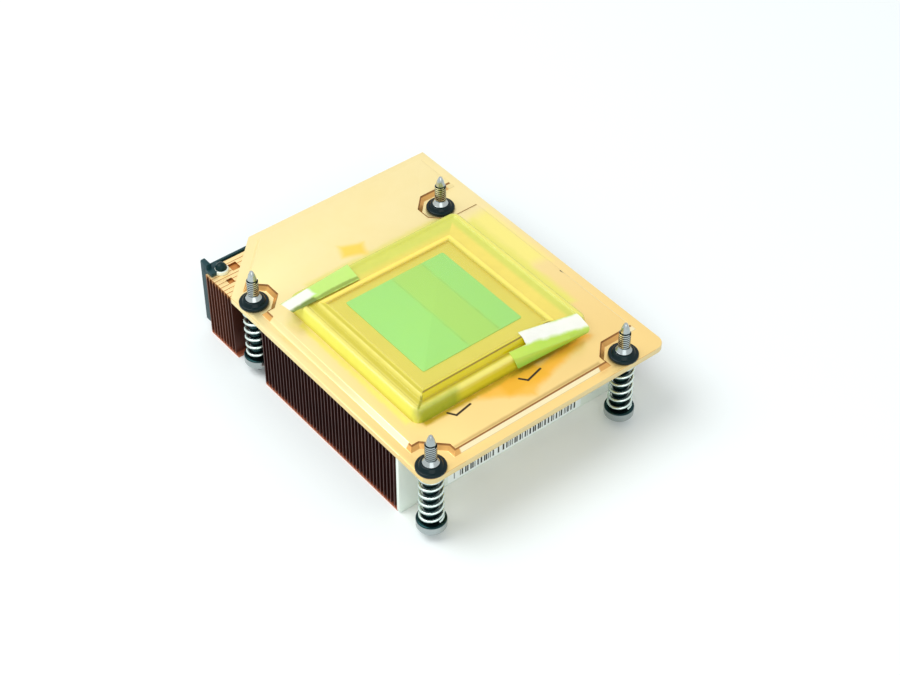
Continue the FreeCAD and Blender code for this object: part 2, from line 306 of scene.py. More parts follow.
# ------------------------------------------------------------------ shader tools
class Shader:
    """One node tree, with short ways to add and join nodes."""

    def __init__(self, tree: Tree) -> None:
        """Keep the tree that nodes are added to."""
        self.tree = tree

    def add(self, kind: str, inputs: dict[object, object] | None = None,
            **settings: object) -> Node:
        """Add a node.

        Args:
            kind: The node's type name.
            inputs: Values or sockets by input name or number.
            settings: Properties of the node itself.

        Returns:
            The new node.
        """
        node = self.tree.nodes.new(kind)
        for key, value in settings.items():
            setattr(node, key, value)
        for key, value in (inputs or {}).items():
            self.feed(node.inputs[key], value)
        return node

    def feed(self, socket: Socket, value: object) -> None:
        """Link a socket to another one, or set its plain value."""
        if isinstance(value, Socket):
            self.tree.links.new(value, socket)
        else:
            socket.default_value = value

    def math(self, operation: str, *values: object, clamp: bool = False) -> Socket:
        """Result of a math node on numbers or sockets."""
        return self.add("ShaderNodeMath", dict(enumerate(values)), operation=operation,
                        use_clamp=clamp).outputs[0]

    def vector(self, operation: str, *values: object) -> Socket:
        """Result of a vector math node. SCALE takes its factor as the second value."""
        slots = (0, 3) if operation == "SCALE" else (0, 1)
        node = self.add("ShaderNodeVectorMath", dict(zip(slots, values)), operation=operation)
        return node.outputs["Value" if operation in ("DOT_PRODUCT", "DISTANCE") else "Vector"]

    def place(self) -> Socket:
        """Object coordinates in millimetres."""
        return self.vector("SCALE", self.add("ShaderNodeTexCoord").outputs["Object"], 1 / MM)

    def axes(self, vector: object) -> tuple[Socket, ...]:
        """The three parts of a vector."""
        return tuple(self.add("ShaderNodeSeparateXYZ", {0: vector}).outputs)

    def noise(self, place: object, scale: object, detail: object) -> Socket:
        """Noise from 0 to 1 at a place."""
        return self.add("ShaderNodeTexNoise", {"Vector": place, "Scale": scale,
                                               "Detail": detail}).outputs["Fac"]

    def span(self, value: object, low: object, high: object) -> Socket:
        """Smooth 0 to 1 mask as a value goes from low to high."""
        return self.add("ShaderNodeMapRange", {"Value": value, "From Min": low, "From Max": high},
                        interpolation_type="SMOOTHSTEP").outputs[0]

    def within(self, value: object, rise: Pair, fall: Pair) -> Socket:
        """Smooth mask that rises between two values and falls between two others."""
        return self.both(self.span(value, *rise), self.span(value, *fall))

    def both(self, *masks: object) -> Socket:
        """Mask where every one of several masks holds."""
        result = masks[0]
        for mask in masks[1:]:
            result = self.math("MULTIPLY", result, mask)
        return result

    def plus(self, value: object, mask: object, amount: float) -> Socket:
        """A value that is higher by an amount where a mask holds."""
        return self.math("ADD", value, self.math("MULTIPLY", mask, amount))

    def mix(self, mask: object, first: object, second: object) -> Socket:
        """Colour that goes from the first to the second with a mask."""
        return self.add("ShaderNodeMix", {0: mask, 6: first, 7: second}, data_type="RGBA",
                        clamp_factor=True).outputs[2]

    def ramp(self, value: object, stops: Row) -> Socket:
        """Colour that follows a row of places, each with its own colour."""
        node = self.add("ShaderNodeValToRGB", {0: value})
        elements = node.color_ramp.elements
        for element, (position, colour) in zip((elements[0], elements[-1]), (stops[0], stops[-1])):
            element.position, element.color = position, colour
        for position, colour in stops[1:-1]:
            elements.new(position).color = colour
        return node.outputs[0]

    def group(self, tree: Tree, **inputs: object) -> Socket:
        """Result of a node group; underscores in input names stand for spaces."""
        named = {key.replace("_", " "): value for key, value in inputs.items()}
        return self.add("ShaderNodeGroup", named, node_tree=tree).outputs[0]


class Group(Shader):
    """Node group that gives one number."""

    def __init__(self, name: str, output: str, inputs: dict[str, object]) -> None:
        """Start the group.

        Args:
            name: The group's name.
            output: Name of its output.
            inputs: Default value by input name; a tuple makes a vector input.
        """
        super().__init__(bpy.data.node_groups.new(name, "ShaderNodeTree"))
        sockets = self.tree.interface
        for label, value in inputs.items():
            kind = "NodeSocketVector" if isinstance(value, tuple) else "NodeSocketFloat"
            sockets.new_socket(label, in_out="INPUT", socket_type=kind).default_value = value
        sockets.new_socket(output, in_out="OUTPUT", socket_type="NodeSocketFloat")
        entry = self.add("NodeGroupInput")
        self.given = [entry.outputs[label] for label in inputs]
        self.result = self.add("NodeGroupOutput").inputs[output]

    def closed(self, value: Socket) -> Tree:
        """The finished group, which gives this value."""
        self.feed(self.result, value)
        return self.tree


class Effects:
    """Node groups that several finishes share. Lengths in them are millimetres."""

    def __init__(self) -> None:
        """Build every group once."""
        self.grain = self._grain()
        self.blotch = self._blotch()
        self.level = self._level()
        self.patch = self._patch()
        self.stroke = self._stroke()
        self.facing = self._facing()
        self.collar = self._collar()

    @staticmethod
    def _grain() -> Tree:
        """Fine noise that may be stretched into brush lines."""
        group = Group("surface_grain", "Height", {
            "Stretch": (1.0, 1.0, 1.0), "Scale": 1.0, "Detail": 4.0})
        stretch, scale, detail = group.given
        place = group.vector("MULTIPLY", group.place(), stretch)
        return group.closed(group.noise(place, scale, detail))

    @staticmethod
    def _blotch() -> Tree:
        """Soft uneven spots: two sizes of noise, cut at a level."""
        group = Group("soft_blotch", "Mask", {"Size": 10.0, "Level": 0.5, "Softness": 0.15})
        size, level, softness = group.given
        scale = group.math("DIVIDE", 1.0, size)
        place = group.place()
        broad = group.math("MULTIPLY", group.noise(place, scale, 2.0), 0.75)
        fine = group.noise(place, group.math("MULTIPLY", scale, 4.0), 3.0)
        spots = group.plus(broad, fine, 0.25)
        low = group.math("SUBTRACT", level, softness)
        high = group.math("ADD", level, softness)
        return group.closed(group.span(spots, low, high))

    @staticmethod
    def _level() -> Tree:
        """Mask that rises between two heights."""
        group = Group("height_level", "Mask", {"Low": 0.0, "High": 1.0})
        return group.closed(group.span(group.axes(group.place())[2], *group.given))

    @staticmethod
    def _patch() -> Tree:
        """Soft oblong seen from above, with an uneven edge."""
        group = Group("oblong_patch", "Mask", {
            "Centre": (0.0, 0.0, 0.0), "Half Size": (1.0, 1.0, 1.0), "Turn": 0.0,
            "Edge": 0.6, "Unevenness": 0.0})
        centre, half, turn, edge, unevenness = group.given
        place = group.place()
        moved = group.add("ShaderNodeVectorRotate", {
            "Vector": group.vector("SUBTRACT", place, centre), "Angle": turn},
            rotation_type="Z_AXIS").outputs[0]
        noise = group.math("SUBTRACT", group.noise(place, 0.35, 3.0), 0.5)
        across, halves = group.axes(moved), group.axes(half)
        gaps = [group.math("SUBTRACT", group.math("ABSOLUTE", across[axis]), halves[axis])
                for axis in (0, 1)]
        gap = group.math("ADD", group.math("MAXIMUM", *gaps), group.both(noise, unevenness))
        return group.closed(group.span(gap, edge, group.math("MULTIPLY", edge, -1.0)))

    @staticmethod
    def _stroke() -> Tree:
        """Pen line between two places, seen from above."""
        group = Group("pen_stroke", "Mask", {
            "From": (0.0, 0.0, 0.0), "To": (1.0, 0.0, 0.0), "Width": 0.5})
        first, last, width = group.given
        flat = group.vector("MULTIPLY", group.place(), (1, 1, 0))
        reach = group.vector("SUBTRACT", flat, first)
        run = group.vector("SUBTRACT", last, first)
        share = group.math("DIVIDE", group.vector("DOT_PRODUCT", reach, run),
                           group.vector("DOT_PRODUCT", run, run), clamp=True)
        gap = group.vector("DISTANCE", reach, group.vector("SCALE", run, share))
        return group.closed(group.span(gap, width, group.math("MULTIPLY", width, 0.4)))

    @staticmethod
    def _facing() -> Tree:
        """Mask of the faces that look along a direction."""
        group = Group("facing_side", "Mask", {
            "Direction": (0.0, 0.0, 1.0), "Low": 0.0, "High": 1.0})
        direction, low, high = group.given
        normal = group.add("ShaderNodeTexCoord").outputs["Normal"]
        return group.closed(group.span(group.vector("DOT_PRODUCT", normal, direction), low, high))

    @staticmethod
    def _collar() -> Tree:
        """Mask by the distance from four upright axes that mirror each other in X and Y."""
        group = Group("round_the_axes", "Mask", {
            "Centre": (41.5, 34.5, 0.0), "Low": 0.0, "High": 1.0})
        centre, low, high = group.given
        flat = group.vector("MULTIPLY", group.vector("ABSOLUTE", group.place()), (1, 1, 0))
        return group.closed(group.span(group.vector("DISTANCE", flat, centre), low, high))


# ------------------------------------------------------------------ finishes
@dataclass(frozen=True)
class Finish:
    """A plain finish: one colour with fine noise, and the settings of its gloss."""

    name: str
    colour: Colour
    shade: Colour
    roughness: float = 0.4
    metallic: float = 0.0
    coat: float = 0.0
    specular: float = 0.5
    bump: float = 0.05
    grain_scale: float = 3.0
    stretch: Triple = (1.0, 1.0, 1.0)
    blotch_size: float = 12.0

    def build(self, effects: Effects) -> bpy.types.Material:
        """Make the material.

        Args:
            effects: The shared node groups.

        Returns:
            The new material.
        """
        material = bpy.data.materials.new(self.name)
        material.use_nodes = True
        shader = Shader(material.node_tree)
        surface = material.node_tree.nodes["Principled BSDF"]
        for label, value in (("Metallic", self.metallic), ("Coat Weight", self.coat),
                             ("Specular IOR Level", self.specular),
                             ("Coat Roughness", COAT_ROUGHNESS)):
            surface.inputs[label].default_value = value
        shader.feed(surface.inputs["Base Color"], self.paint(shader, effects))
        height = shader.group(effects.grain, Stretch=self.stretch, Scale=self.grain_scale)
        worn = shader.group(effects.blotch, Size=self.blotch_size)
        rough = shader.plus(self.roughness - WEAR_ROUGHNESS, height, GRAIN_ROUGHNESS)
        shader.feed(surface.inputs["Roughness"], shader.plus(rough, worn, WEAR_ROUGHNESS))
        bump = shader.add("ShaderNodeBump", {"Height": height, "Strength": self.bump,
                                             "Distance": BUMP_DISTANCE * MM})
        shader.feed(surface.inputs["Normal"], bump.outputs["Normal"])
        self.extra(shader, surface, effects)
        return material

    def paint(self, shader: Shader, effects: Effects) -> Socket:
        """Base colour: the main colour with uneven spots of the second one."""
        mask = shader.group(effects.blotch, Size=self.blotch_size, Softness=0.3)
        return shader.mix(mask, self.colour, self.shade)

    def extra(self, shader: Shader, surface: Node, effects: Effects) -> None:
        """Further settings of a finish; none here."""


@dataclass(frozen=True)
class Patch:
    """Soft oblong mark seen from above, for spots, bands, and painted light and shade."""

    centre: Pair
    half: Pair
    colour: Colour
    turn: float = 0.0
    edge: float = 0.9
    unevenness: float = 1.5

    def mask(self, shader: Shader, effects: Effects) -> Socket:
        """Mask of the stain."""
        return shader.group(effects.patch, Centre=(*self.centre, 0), Half_Size=(*self.half, 1),
                            Turn=self.turn, Edge=self.edge, Unevenness=self.unevenness)


@dataclass(frozen=True)
class ShadedAndMarkedCopper(Finish):
    """Bright copper of the base plate: an orange spot, pen ticks, painted shadows and light cast
    through the cover film, a painted highlight on the steps and painted shade round the pockets.
    """

    warm: Colour = tone(246, 214, 140)
    # Painted highlight on the rounded steps.
    step_highlight: Colour = tone(252, 240, 196)
    # Painted shadow line along the front step and the pockets.
    brown: Colour = tone(158, 108, 56)
    # Painted shade on the steps round the pockets.
    pocket: Colour = tone(222, 170, 96)
    # Painted shade at the foot of the front step.
    step_foot_shade: Colour = tone(224, 204, 150)
    ink: Colour = tone(50, 40, 28)
    pen: float = 0.5
    warm_x: Pair = (-45.0, 38.0)
    step_highlight_x: Pair = (-8.0, 22.0)
    upper_z: Pair = (-7.8, -7.4)
    step_z: Pair = (-6.5, -6.1)
    foot_z: Pair = (-6.0, -6.12)
    line_z: Pair = (-5.15, -5.0)
    # Painted shadows and yellow light cast through the cover film and the tape, painted shadow
    # lines along the film's foot and the platform's front edge, and one orange spot by the rear.
    painted_shade_and_stains: tuple[Patch, ...] = (
        Patch((-17.0, 40.6), (14.0, 4.0), tone(248, 236, 132), edge=3.0),
        Patch((-6.5, 36.1), (23.5, 1.9), tone(236, 230, 116), edge=1.6),
        Patch((-35.2, 6.0), (1.9, 25.0), tone(232, 222, 116), edge=1.6),
        Patch((1.0, -30.1), (25.0, 0.9), tone(238, 224, 120), edge=0.8),
        Patch((-41.0, 0.8), (2.6, 3.7), tone(254, 214, 92), turn=0.4, edge=1.4,
              unevenness=0.7),
        Patch((32.0, 17.5), (2.3, 14.0), tone(250, 186, 60), turn=-0.245, edge=1.6),
        Patch((32.8, -1.2), (2.6, 8.0), tone(248, 192, 78), turn=0.57, edge=1.6),
        Patch((31.4, 5.0), (3.8, 7.0), tone(242, 182, 50), edge=1.6),
        Patch((29.1, 0.0), (0.9, 27.0), tone(206, 172, 44), edge=0.7),
        Patch((40.8, 0.0), (0.5, 26.0), tone(206, 176, 110), edge=0.5, unevenness=0.4),
    )
    ticks: tuple[tuple[Pair, Pair], ...] = (
        ((31.6, 4.4), (33.6, 6.0)), ((33.6, 6.0), (32.2, 11.6)),
        ((29.6, -19.4), (31.8, -18.0)), ((31.8, -18.0), (30.8, -12.4)),
        ((4.6, 43.2), (7.2, 43.9)),
    )

    def paint(self, shader: Shader, effects: Effects) -> Socket:
        """Base colour, from the pale rear to the warm front, with the painted shade, the orange
        spot and the pen ticks that are on it.
        """
        along, _, height = shader.axes(shader.place())
        colour = shader.mix(shader.span(along, *self.warm_x), super().paint(shader, effects),
                            self.warm)
        above = shader.span(height, *self.upper_z)
        marks = [(patch.mask(shader, effects), patch.colour) for patch in self.painted_shade_and_stains]
        marks += [(shader.group(effects.stroke, From=(*first, 0), To=(*last, 0),
                                Width=self.pen), self.ink) for first, last in self.ticks]
        for mask, mark in marks:
            colour = shader.mix(shader.both(mask, above), colour, mark)
        return self.steps(shader, effects, colour, along, height)

    def steps(self, shader: Shader, effects: Effects, colour: Socket, along: Socket,
              height: Socket) -> Socket:
        """Painted highlight on the sloping steps, painted shade at the front step's foot and on
        the pocket steps, and a painted shadow line along the front step and the pockets.

        Args:
            shader: The material's nodes.
            effects: The shared node groups.
            colour: The colour so far.
            along: Place along X.
            height: Place along Z.

        Returns:
            The colour with the steps.
        """
        steep = shader.group(effects.facing, Low=0.97, High=0.9)
        front = shader.group(effects.facing, Direction=(1, 0, 0), Low=0.15, High=0.35)
        turned_back = shader.group(effects.facing, Direction=(-1, 0, 0), Low=0.3, High=0.1)
        near = shader.group(effects.collar, Low=9.9, High=9.3)
        on_step = shader.both(steep, shader.span(height, *self.step_z))
        foot = shader.both(steep, front, shader.span(height, *self.foot_z))
        lines = shader.math("MAXIMUM", shader.both(near, turned_back), front)
        # Painted highlight on the steps, painted shade at the front foot and round the pockets,
        # and painted shadow lines.
        for mask, mark in (
                (shader.both(on_step, shader.span(along, *self.step_highlight_x)), self.step_highlight),
                (foot, self.step_foot_shade),
                (shader.both(on_step, near), self.pocket),
                (shader.both(on_step, shader.span(height, *self.line_z), lines), self.brown)):
            colour = shader.mix(mask, colour, mark)
        return colour


@dataclass(frozen=True)
class FinCopper(Finish):
    """Copper sheet of the fins: painted dark for the shade between them, pale on top, with a
    painted highlight at the lower fold and painted light near the top.
    """

    # Painted highlight along the lower fold.
    painted_glow: Colour = tone(206, 132, 100)
    skin: Colour = tone(250, 222, 160)
    brown: Colour = tone(112, 62, 42)
    # Painted light near the top and in the slots, which lie in shade.
    slot: Colour = tone(196, 132, 66)
    brown_x: Pair = (-46.0, -56.0)
    painted_glow_z: Pair = (-30.4, -31.6)
    slot_z: Pair = (-10.4, -9.0)
    skin_z: Pair = (-8.75, -8.6)

    def paint(self, shader: Shader, effects: Effects) -> Socket:
        """Base colour by height and facing, browner in the rear pack, with a painted highlight at
        the lower fold and painted light near the top.
        """
        along, _, height = shader.axes(shader.place())
        upward = shader.group(effects.facing, Low=0.1, High=0.4)
        colour = super().paint(shader, effects)
        for mask, mark in (
                (shader.span(along, *self.brown_x), self.brown),
                (shader.span(height, *self.painted_glow_z), self.painted_glow),
                (shader.span(height, *self.slot_z), self.slot),
                (shader.both(shader.span(height, *self.skin_z), upward), self.skin)):
            colour = shader.mix(mask, colour, mark)
        return colour


@dataclass(frozen=True)
class GreaseBands(Finish):
    """Thermal grease, printed in bands that run from the rear to the front."""

    band: Patch = Patch((-1.2, 4.2), (30, 5.4), tone(156, 216, 110), unevenness=1.6)
    seams: tuple[Patch, ...] = tuple(
        Patch((-1.2, y), (30, 0.15), tone(126, 196, 96), edge=0.35, unevenness=0.8)
        for y in (-1.2, 9.6))
    seam_strength: float = 0.6

    def paint(self, shader: Shader, effects: Effects) -> Socket:
        """Base colour with a duller band between two thin seams."""
        colour = shader.mix(self.band.mask(shader, effects), super().paint(shader, effects),
                            self.band.colour)
        for line in self.seams:
            mask = shader.both(line.mask(shader, effects), self.seam_strength)
            colour = shader.mix(mask, colour, line.colour)
        return colour


@dataclass(frozen=True)
class Film(Finish):
    """Thin clear plastic, see-through by its alpha."""

    alpha: float = 0.5
    spots: float = 6.0

    def haze(self, shader: Shader, effects: Effects) -> Socket:
        """Alpha, a little denser in spots."""
        mask = shader.group(effects.blotch, Size=self.spots, Softness=0.3)
        return shader.plus(self.alpha - HAZE / 2, mask, HAZE)

    def extra(self, shader: Shader, surface: Node, effects: Effects) -> None:
        """Set the alpha."""
        shader.feed(surface.inputs["Alpha"], self.haze(shader, effects))


class Tint:
    """Tones of the yellow film, named by how it looks at a place. CREAM and LEMON paint
    highlights, and BRONZE, OLIVE and MOSS paint shade lines and the shadow at the foot.
    """

    CREAM = tone(255, 246, 126)
    LEMON = tone(255, 255, 108)
    SUN = tone(254, 236, 112)
    GOLD = tone(244, 228, 26)
    OLIVE = tone(192, 172, 6)
    LIME = tone(228, 232, 104)
    WARM = tone(255, 232, 106)
    LEAF = tone(222, 212, 70)
    GRASS = tone(228, 224, 34)
    MOSS = tone(168, 164, 22)
    BRONZE = tone(146, 122, 18)


@dataclass(frozen=True)
class CoverFilm(Film):
    """Film of the cover: clear over the window, dense along its ridge and walls, with painted
    highlights, painted shade lines and a painted emission in the window's far walls.
    """

    spots: float = 8.0
    window: float = 23.9
    clear: float = 0.1
    # Strength of the painted emission in the window's far walls.
    painted_glow: float = 0.14
    lip: float = 0.24
    margin: float = 0.4
    # Painted shadow at the foot by the near right corner.
    painted_foot_shadow: Patch = Patch((30.0, -21.0), (3.0, 6.5), tone(158, 182, 36), edge=2.6)
    reach: tuple[float, float, float, float] = (4.5, 9.4, 9.8, 5.1)
    # The rows paint the film's light and shade: CREAM and LEMON are painted highlights, BRONZE and
    # OLIVE painted shade lines, and MOSS the painted shadow at the foot.
    front: Row = (
        (0.0, Tint.LEAF), (0.13, Tint.LEAF), (0.17, Tint.BRONZE), (0.22, Tint.BRONZE),
        (0.28, Tint.GOLD), (0.36, Tint.GOLD), (0.42, Tint.OLIVE), (0.47, Tint.OLIVE),
        (0.53, Tint.LEAF), (0.6, Tint.CREAM), (0.88, Tint.CREAM), (0.93, Tint.GRASS),
        (0.96, Tint.GRASS), (1.0, Tint.MOSS))
    rear: Row = (
        (0.0, Tint.LIME), (0.2, Tint.WARM), (0.36, Tint.WARM), (0.6, Tint.LIME),
        (0.94, Tint.LIME), (1.0, Tint.MOSS))
    right: Row = (
        (0.0, Tint.LIME), (0.3, Tint.SUN), (0.6, Tint.SUN), (0.7, Tint.LIME), (0.82, Tint.LIME),
        (0.88, Tint.CREAM), (0.94, Tint.LIME), (1.0, Tint.LIME))
    left: Row = (
        (0.0, Tint.CREAM), (0.14, Tint.LEAF), (0.22, Tint.LEAF), (0.3, Tint.CREAM),
        (0.4, Tint.LEAF), (0.52, Tint.LEAF), (0.64, Tint.CREAM), (0.84, Tint.CREAM),
        (0.91, Tint.LEMON), (0.96, Tint.LEMON), (1.0, Tint.LEAF))

    def outwards(self, shader: Shader) -> tuple[list[Socket], Socket]:
        """Share of the way from the window's edge to the foot, on each side and at most."""
        x, y, _ = shader.axes(shader.place())
        ways = (x, shader.math("MULTIPLY", x, -1.0), y, shader.math("MULTIPLY", y, -1.0))
        shares = [shader.math("DIVIDE", shader.math("SUBTRACT", way, self.window), reach)
                  for way, reach in zip(ways, self.reach)]
        most = shader.math("MAXIMUM", shader.math("MAXIMUM", *shares[:2]),
                           shader.math("MAXIMUM", *shares[2:]))
        return shares, most

    def paint(self, shader: Shader, effects: Effects) -> Socket:
        """Base colour: the window's tint, and on each side a row of tones outwards with painted
        highlights and shade lines, a painted shade along the fold line at the near corner, and a
        painted shadow at the foot.
        """
        shares, most = self.outwards(shader)
        row_place = shader.math("DIVIDE", shader.math("ADD", most, self.margin), 1 + self.margin)
        colour = shader.ramp(row_place, self.front)
        for share, row in zip(shares[1:], (self.rear, self.right, self.left)):
            lag = shader.math("SUBTRACT", most, share)
            colour = shader.mix(shader.span(lag, 0.06, 0.0), colour, shader.ramp(row_place, row))
        apart = shader.math("ABSOLUTE", shader.math("SUBTRACT", shares[0], shares[3]))
        # Painted shade along the fold line at the near corner.
        crease_shade = shader.both(shader.span(apart, 0.16, 0.05), shader.span(most, 0.0, 0.05),
                             shader.span(most, 0.75, 0.6), shader.span(shares[0], -0.1, 0.0))
        inside = shader.span(most, -self.margin, -self.margin - 0.08)
        for mask, mark in ((crease_shade, Tint.MOSS),
                           (self.painted_foot_shadow.mask(shader, effects), self.painted_foot_shadow.colour),
                           (inside, super().paint(shader, effects))):
            colour = shader.mix(mask, colour, mark)
        return colour

    def extra(self, shader: Shader, surface: Node, effects: Effects) -> None:
        """Set the alpha, low over the window, and a painted emission of light in the window's far
        walls.
        """
        shares, most = self.outwards(shader)
        toward = shader.math("MAXIMUM", shares[0], shares[3])
        near = shader.span(shader.math("SUBTRACT", most, toward), 0.1, 0.0)
        wall = shader.both(shader.span(most, -0.14, -0.08), shader.span(most, 0.12, 0.09),
                           shader.math("SUBTRACT", 1.0, near))
        # Painted light: the window's far walls emit a yellow tone.
        shader.feed(surface.inputs["Emission Color"], shader.mix(wall, tone(0, 0, 0), Tint.SUN))
        surface.inputs["Emission Strength"].default_value = self.painted_glow
        start = shader.math("MULTIPLY", near, -self.margin + self.lip)
        start = shader.math("SUBTRACT", start, self.lip)
        dense = shader.span(shader.math("SUBTRACT", most, start), 0.0, 0.12)
        alpha = shader.add("ShaderNodeMapRange", {
            "Value": dense, "To Min": self.clear, "To Max": self.haze(shader, effects)})
        shader.feed(surface.inputs["Alpha"], alpha.outputs[0])


@dataclass(frozen=True)
class TapeFilm(Film):
    """Clear tape over the yellow film, with a painted glare where its end stands off and painted
    shade along its edge.
    """

    low: Colour = tone(150, 214, 70)
    low_z: Pair = (-1.4, -3.4)
    painted_glare_and_shade: tuple[Patch, ...] = ()

    def paint(self, shader: Shader, effects: Effects) -> Socket:
        """Base colour, darker on the wall, with its painted glare and painted shade."""
        wall = shader.group(effects.level, Low=self.low_z[0], High=self.low_z[1])
        colour = shader.mix(wall, super().paint(shader, effects), self.low)
        for patch in self.painted_glare_and_shade:
            colour = shader.mix(patch.mask(shader, effects), colour, patch.colour)
        return colour


@dataclass(frozen=True)
class ScrewSteel(Finish):
    """Bright screw, with painted shade in the thread's valleys and on the shoulder and the head's
    top under the spring.
    """

    painted_dark_tone: Colour = tone(22, 52, 54)
    shoulder_z: tuple[Pair, Pair] = ((-26.5, -26.2), (-4.0, -4.2))
    thread_z: tuple[Pair, Pair] = ((-2.9, -2.6), (3.1, 2.9))

    def paint(self, shader: Shader, effects: Effects) -> Socket:
        """Base colour by height and by the distance from the axis."""
        height = shader.axes(shader.place())[2]
        # Painted shade on the head's top and the shoulder, under the spring.
        shoulder = shader.both(shader.within(height, *self.shoulder_z),
                               shader.group(effects.facing, Low=-0.3, High=-0.1))
        # Painted shade in the thread's valleys.
        valley_shade = shader.both(shader.within(height, *self.thread_z),
                             shader.group(effects.collar, Low=1.72, High=1.5))
        return shader.mix(shader.math("MAXIMUM", shoulder, valley_shade),
                          super().paint(shader, effects), self.painted_dark_tone)


@dataclass(frozen=True)
class SpringWire(Finish):
    """Wire of the springs: bright on top, with a painted dark reflection underneath."""

    painted_dark_tone: Colour = tone(18, 48, 50)

    def paint(self, shader: Shader, effects: Effects) -> Socket:
        """Base colour by the way the surface faces."""
        # Painted dark reflection on the faces that look down.
        lower = shader.group(effects.facing, Low=0.3, High=-0.15)
        return shader.mix(lower, super().paint(shader, effects), self.painted_dark_tone)


@dataclass(frozen=True)
class BarLabel(Finish):
    """White paper label with a plain row of bars along its lower edge."""

    bar: Colour = tone(40, 44, 44)
    row_z: tuple[Pair, Pair] = ((-30.6, -30.4), (-20.4, -20.6))
    row_y: tuple[Pair, Pair] = ((-18.6, -18.4), (27.0, 26.8))

    def paint(self, shader: Shader, effects: Effects) -> Socket:
        """White paper with bars of uneven width."""
        _, along, height = shader.axes(shader.place())
        line = shader.add("ShaderNodeCombineXYZ", {1: along}).outputs[0]
        mask = shader.both(shader.span(shader.noise(line, 1.6, 0.0), 0.5, 0.52),
                           shader.within(height, *self.row_z), shader.within(along, *self.row_y))
        return shader.mix(mask, super().paint(shader, effects), self.bar)


# Painted glare on the tapes' ends, and painted shade along the left tape's edge.
PAINTED_GLARE, TAPE_EDGE_SHADE = tone(253, 255, 247), tone(118, 142, 52)
FINISHES: dict[str, Finish] = {
    "plate": ShadedAndMarkedCopper("plate_copper", tone(247, 230, 171), tone(244, 226, 163),
                           roughness=0.36, metallic=0.6, stretch=(1.0, 0.08, 1.0),
                           grain_scale=5.0),
    "pedestal": Finish("pedestal_copper", tone(230, 214, 104), tone(222, 208, 98),
                       roughness=0.34, metallic=0.6, stretch=(0.1, 1.0, 1.0)),
    # The fin copper is painted dark for the shade between the fins.
    "fins": FinCopper("fin_copper", tone(74, 34, 27), tone(58, 25, 21), metallic=0.5,
                      stretch=(1.0, 0.1, 1.0)),
    "grease": GreaseBands("grease", tone(138, 220, 128), tone(144, 222, 124), roughness=0.5,
                          bump=0.15),
    "cover": CoverFilm("cover_film", tone(236, 238, 110), tone(232, 236, 104), roughness=0.22,
                       coat=0.3, bump=0.1, grain_scale=0.4, alpha=0.7),
    "tape_left": TapeFilm(
        "clear_tape_left", tone(206, 246, 126), tone(198, 242, 116), roughness=0.15, coat=0.5,
        bump=0.3, grain_scale=0.5, alpha=0.8,
        # Painted shade along the tape's inner edge and by its end, and a painted glare on its end.
        painted_glare_and_shade=(Patch((-26.2, -18.0), (0.7, 14.0), tone(150, 176, 60), edge=0.4),
                Patch((-26.3, -27.4), (1.0, 4.4), TAPE_EDGE_SHADE, edge=0.5),
                Patch((-29.2, -27.4), (1.9, 5.2), PAINTED_GLARE, turn=-0.145, edge=0.7))),
    "tape_right": TapeFilm(
        "clear_tape_right", tone(206, 238, 90), tone(190, 230, 80), roughness=0.15, coat=0.5,
        bump=0.3, grain_scale=0.5, alpha=0.8,
        painted_glare_and_shade=(Patch((26.1, 21.4), (2.2, 10.4), PAINTED_GLARE, turn=0.255, edge=0.7),)),
    "aluminium": Finish("end_plate_aluminium", tone(236, 246, 236), tone(228, 240, 230),
                        metallic=0.1, stretch=(1.0, 0.1, 1.0)),
    "label": BarLabel("paper_label", tone(246, 255, 254), tone(240, 251, 250), roughness=0.7),
    "black": Finish("black_plate", tone(18, 62, 68), tone(12, 50, 56), roughness=0.45,
                    specular=0.25, bump=0.15),
    "rivet": Finish("black_rivet", tone(4, 38, 40), tone(8, 44, 46), roughness=0.3,
                    specular=0.15),
    "steel": ScrewSteel("screw_steel", tone(184, 192, 190), tone(160, 170, 172), roughness=0.22,
                        metallic=0.9, bump=0.03),
    "ring": Finish("black_ring", tone(4, 26, 30), tone(7, 32, 36), roughness=0.2, specular=0.16,
                   bump=0.03),
    "spring": SpringWire("spring_wire", tone(222, 238, 232), tone(204, 222, 216),
                         roughness=0.24, metallic=0.8),
}


def dress(piece: Piece, material: bpy.types.Material) -> None:
    """Give a piece one material for all its faces."""
    piece.data.materials.clear()
    piece.data.materials.append(material)


def place(piece: Piece, slot: str, material: bpy.types.Material, *nodes: str,
          body: str = Body.HEATSINK.value) -> None:
    """Dress a finished piece and give it its place in the frame.

    Args:
        piece: The finished piece.
        slot: The record's material slot; not used.
        material: Its material.
        nodes: The frame's nodes that it stands for.
        body: The body that it rides on.
    """
    dress(piece, material)
    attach(piece, body)
    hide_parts(*nodes)
    LOG.info("%s: %d faces on %s", piece.name, len(piece.data.polygons), body)


# ------------------------------------------------------------------ sub-assemblies
@dataclass(frozen=True)
class Layout:
    """Levels and places that several sub-assemblies share."""

    platform_top: float = -4.7
    flange_top: float = -6.2
    plate_bottom: float = -8.2
    fin_bottom: float = -31.8
    screws: tuple[Pair, ...] = ((-41.5, -34.5), (41.5, -34.5), (41.5, 34.5), (-41.5, 34.5))


